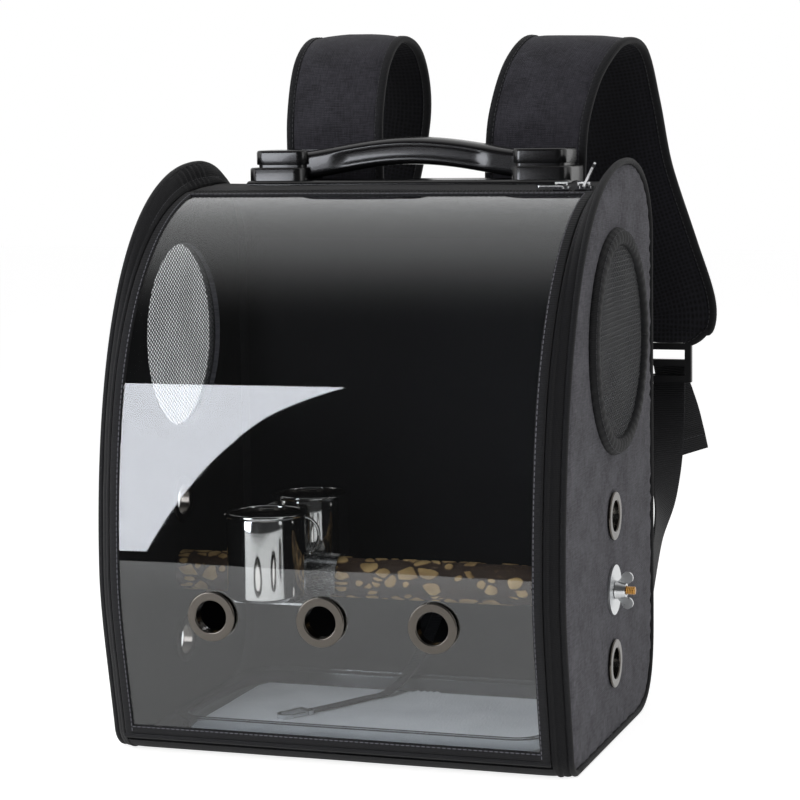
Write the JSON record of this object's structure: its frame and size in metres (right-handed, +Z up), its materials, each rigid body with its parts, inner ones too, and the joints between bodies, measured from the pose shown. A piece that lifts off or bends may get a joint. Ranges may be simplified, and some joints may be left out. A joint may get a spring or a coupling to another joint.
{
  "type": "bird travel carrier",
  "caption": "Backpack carrier for birds with a drop-down clear window, round mesh side windows, a bark perch, lift-off steel cups, a floor tray, a lift handle and shoulder straps.",
  "frame": {"origin": "centre of the flat base", "axes": "+Z up, -Y out of the clear window at the front, +X to the right as the front is seen"},
  "size_m": [0.3733, 0.3859, 0.4987],
  "materials": {
    "grey_fabric": "heather woven polyester over foam",
    "black_fabric": "matt woven polyester tape",
    "piping_tape": "folded binding tape",
    "net": "warp-knitted net",
    "zipper_tape": "nylon coil zipper tape",
    "clear_sheet": "clear pressed sheet",
    "eyelet_metal": "dark nickel plating",
    "handle_plastic": "glossy black moulding",
    "perch_wood": "bark-covered branch",
    "bolt_brass": "bright brass",
    "zinc": "bright zinc plating",
    "cup_steel": "polished stainless steel",
    "tray_plastic": "clear moulded tray",
    "felt": "pressed felt",
    "strap_fabric": "woven cover over foam",
    "webbing": "flat woven webbing"
  },
  "bodies": {
    "bag": {"side_panel_left": "grey_fabric", "side_panel_right": "grey_fabric", "piping_left": "piping_tape", "piping_right": "piping_tape", "side_band_left": "black_fabric", "side_band_right": "black_fabric", "mesh_ring_left": "black_fabric", "mesh_ring_right": "black_fabric", "mesh_left": "net", "mesh_right": "net", "side_eyelets_left": "eyelet_metal", "side_eyelets_right": "eyelet_metal", "handle_housing_left": "handle_plastic", "handle_housing_right": "handle_plastic", "perch_bolt_left": "bolt_brass", "perch_bolt_right": "bolt_brass", "washer_left": "zinc", "washer_right": "zinc", "strap_pad_left": "strap_fabric", "strap_pad_right": "strap_fabric", "strap_binding_left": "piping_tape", "strap_binding_right": "piping_tape", "ladder_lock_left": "handle_plastic", "ladder_lock_right": "handle_plastic", "strap_webbing_left": "webbing", "strap_webbing_right": "webbing", "webbing_tail_left": "webbing", "webbing_tail_right": "webbing", "strap_anchor_left": "webbing", "strap_anchor_right": "webbing", "base_panel": "black_fabric", "back_panel": "black_fabric", "top_panel": "black_fabric", "front_sill": "black_fabric", "frame_zipper": "zipper_tape", "handle_base": "handle_plastic", "perch": "perch_wood", "cup_bracket": "cup_steel", "tray": "tray_plastic", "tray_pad": "felt", "leash_webbing": "webbing", "leash_hook": "zinc", "zip_slider_b": "zinc"},
    "window": {"window_sheet": "clear_sheet", "window_binding": "black_fabric", "door_zipper": "zipper_tape", "window_eyelets": "eyelet_metal"},
    "grip": {"handle_grip": "handle_plastic"},
    "nut_left": {"wing_nut_left": "bolt_brass"},
    "nut_right": {"wing_nut_right": "bolt_brass"},
    "front_cup": {"cup_front": "cup_steel"},
    "back_cup": {"cup_back": "cup_steel"},
    "slider_a": {"zip_slider_a": "zinc"},
    "pull_a": {"zip_pull_a": "zinc"},
    "pull_b": {"zip_pull_b": "zinc"},
    "gate": {"leash_gate": "zinc"}
  },
  "joints": [
    {"name": "window_fold", "type": "hinge", "parent": "bag", "child": "window", "pos_m": [0, -0.11911, 0.01357], "axis": [1, 0, 0], "range_deg": [0, 85]},
    {"name": "grip_lift", "type": "slide", "parent": "bag", "child": "grip", "axis": [0, 0, 1], "range_m": [0, 0.008]},
    {"name": "left_nut_turn", "type": "hinge", "parent": "bag", "child": "nut_left", "pos_m": [-0.1662, 0.005, 0.107], "axis": [-1, 0, 0], "continuous": true},
    {"name": "right_nut_turn", "type": "hinge", "parent": "bag", "child": "nut_right", "pos_m": [0.1662, 0.005, 0.107], "axis": [1, 0, 0], "continuous": true},
    {"name": "front_cup_lift", "type": "slide", "parent": "bag", "child": "front_cup", "axis": [0, 0, 1], "range_m": [0, 0.045]},
    {"name": "back_cup_lift", "type": "slide", "parent": "bag", "child": "back_cup", "axis": [0, 0, 1], "range_m": [0, 0.045]},
    {"name": "zip_run", "type": "slide", "parent": "bag", "child": "slider_a", "axis": [-1, 0, 0], "range_m": [0, 0.252]},
    {"name": "pull_a_turn", "type": "hinge", "parent": "slider_a", "child": "pull_a", "pos_m": [0.127, 0.01236, 0.38671], "axis": [0, 0.9844, 0.1759], "range_deg": [0, 115]},
    {"name": "pull_b_turn", "type": "hinge", "parent": "bag", "child": "pull_b", "pos_m": [0.143, 0.01236, 0.38671], "axis": [0, -0.9844, -0.1759], "range_deg": [0, 80]},
    {"name": "gate_turn", "type": "hinge", "parent": "bag", "child": "gate", "pos_m": [-0.0555, -0.02186, 0.0117], "axis": [0, 0, -1], "range_deg": [0, 25], "stiffness_Nm_per_rad": 0.004}
  ]
}
